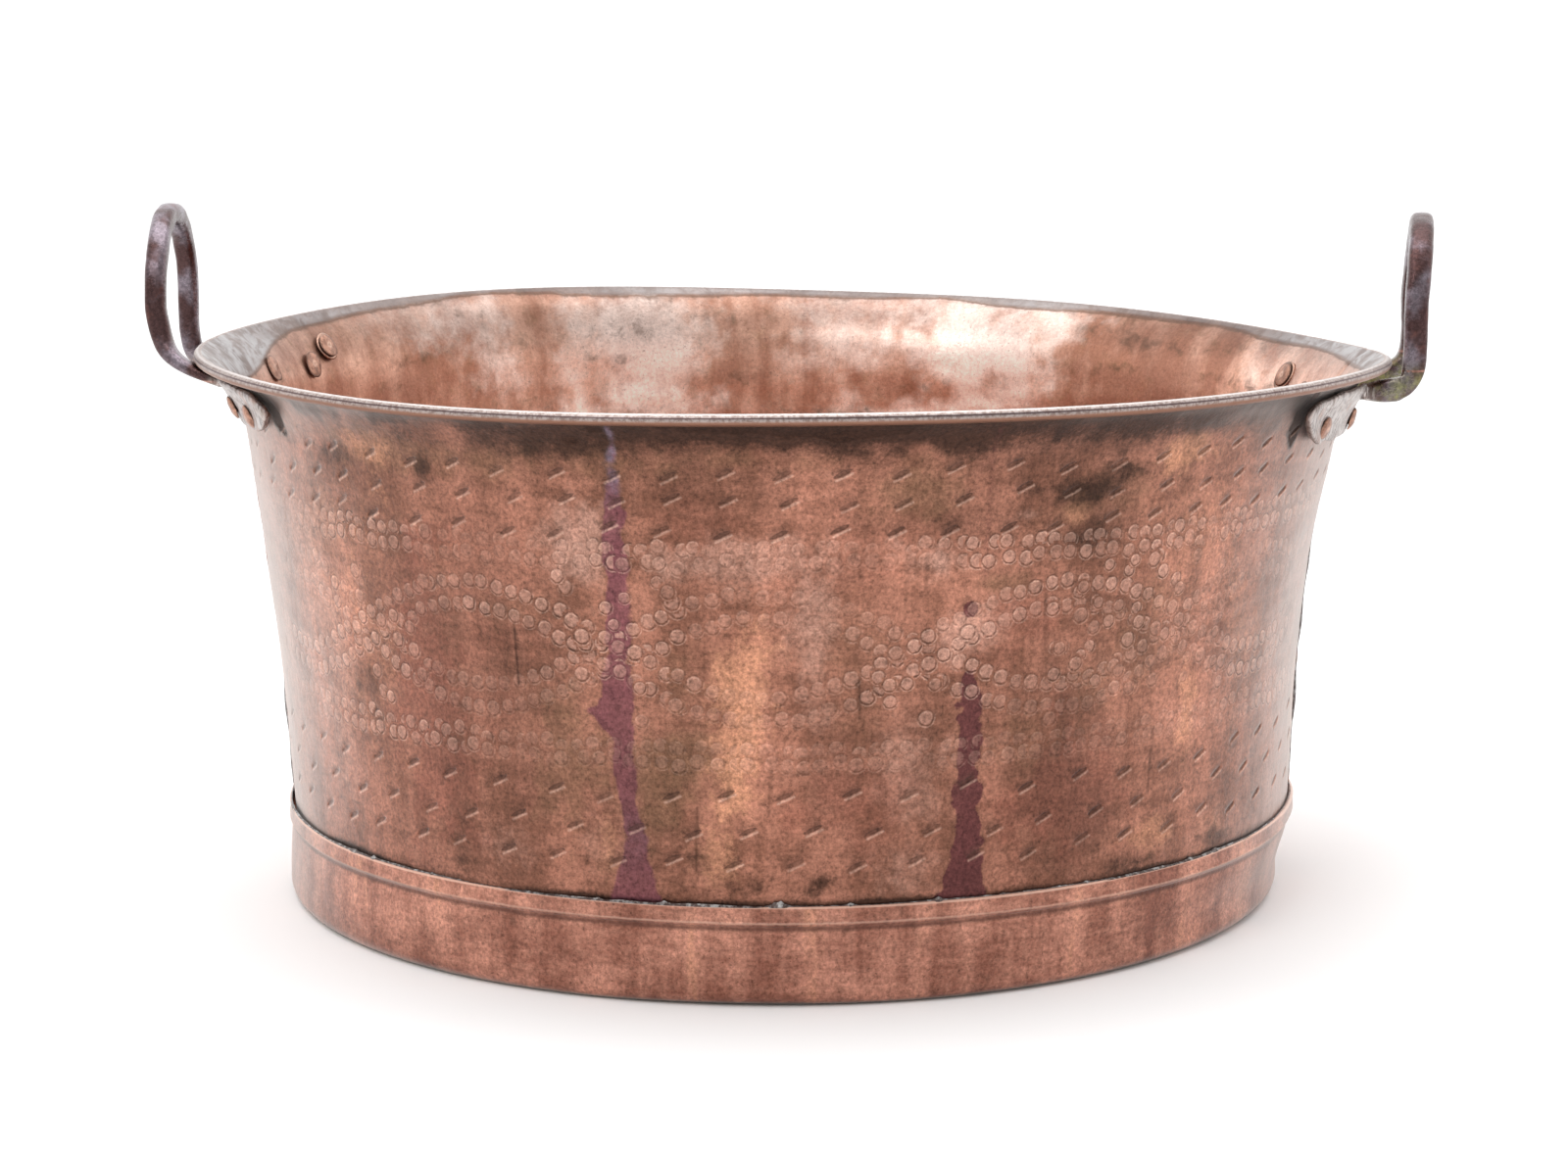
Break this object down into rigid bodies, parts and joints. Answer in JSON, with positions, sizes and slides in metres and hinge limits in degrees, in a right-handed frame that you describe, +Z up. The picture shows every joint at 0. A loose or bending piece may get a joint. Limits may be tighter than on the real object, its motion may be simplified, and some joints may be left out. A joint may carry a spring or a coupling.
{
  "type": "hammered copper bowl",
  "caption": "Large round hammered copper bowl with a flared rolled rim, a stepped soldered base pan and upright riveted loop handles.",
  "frame": {"origin": "on the floor, at the bowl's axis, at the middle of the base pan's flat underside", "axes": "+X from the left handle to the right handle, +Y to the back, +Z up out of the bowl"},
  "size_m": [0.7621, 0.6998, 0.4048],
  "materials": {
    "hammered_copper": "aged hammered copper, satin with brown and olive patina",
    "handle_copper": "forged copper alloy, dark brown-purple patina, semi-gloss",
    "rivet_copper": "hammered copper rivet, satin",
    "tin_solder": "dull grey tin solder"
  },
  "bodies": {
    "root": {"wall_front": "hammered_copper", "wall_back": "hammered_copper", "base_pan": "hammered_copper", "rim_wire": "hammered_copper", "handle_left": "handle_copper", "handle_right": "handle_copper", "seam_braze_left": "tin_solder", "seam_braze_right": "tin_solder", "base_solder": "tin_solder", "rivet_left_back_inner": "rivet_copper", "rivet_left_back_outer": "rivet_copper", "rivet_left_back_upper": "rivet_copper", "rivet_left_front_inner": "rivet_copper", "rivet_left_front_outer": "rivet_copper", "rivet_right_back_inner": "rivet_copper", "rivet_right_back_outer": "rivet_copper", "rivet_right_front_inner": "rivet_copper", "rivet_right_front_outer": "rivet_copper", "rove_left_back_upper": "rivet_copper", "rove_right_back_outer": "rivet_copper"}
  },
  "joints": []
}
